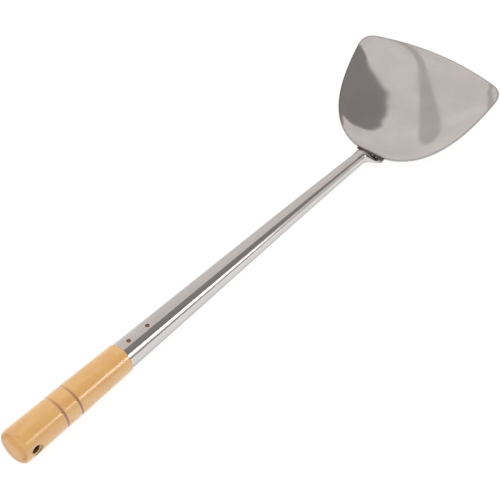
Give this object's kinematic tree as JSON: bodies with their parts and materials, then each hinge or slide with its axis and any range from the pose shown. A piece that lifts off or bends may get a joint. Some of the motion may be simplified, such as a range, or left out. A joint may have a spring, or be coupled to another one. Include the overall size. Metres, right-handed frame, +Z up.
{
  "type": "wok spatula",
  "caption": "Long-handled wok spatula: dished steel blade on a tapered tube with a turned wooden grip.",
  "frame": {"origin": "on the surface the spatula lies on, under the middle of its bounding box", "axes": "+X runs along the handle from the grip to the blade, +Z is up out of the blade's dish, and y = 0 is the plane of symmetry"},
  "size_m": [0.4796, 0.1356, 0.0574],
  "materials": {
    "blade_steel": "polished stainless sheet, soft blurred reflections",
    "shaft_steel": "polished stainless tube with fine lengthwise brushing",
    "weld_steel": "heat-darkened weld bead",
    "grip_wood": "clear-lacquered turned hardwood",
    "pin_metal": "dull brad heads"
  },
  "bodies": {
    "root": {"blade": "blade_steel", "shaft": "shaft_steel", "rim_weld": "weld_steel", "tongue_weld_left": "weld_steel", "tongue_weld_right": "weld_steel", "grip": "grip_wood", "grip_pin_front": "pin_metal", "grip_pin_rear": "pin_metal"}
  },
  "joints": []
}
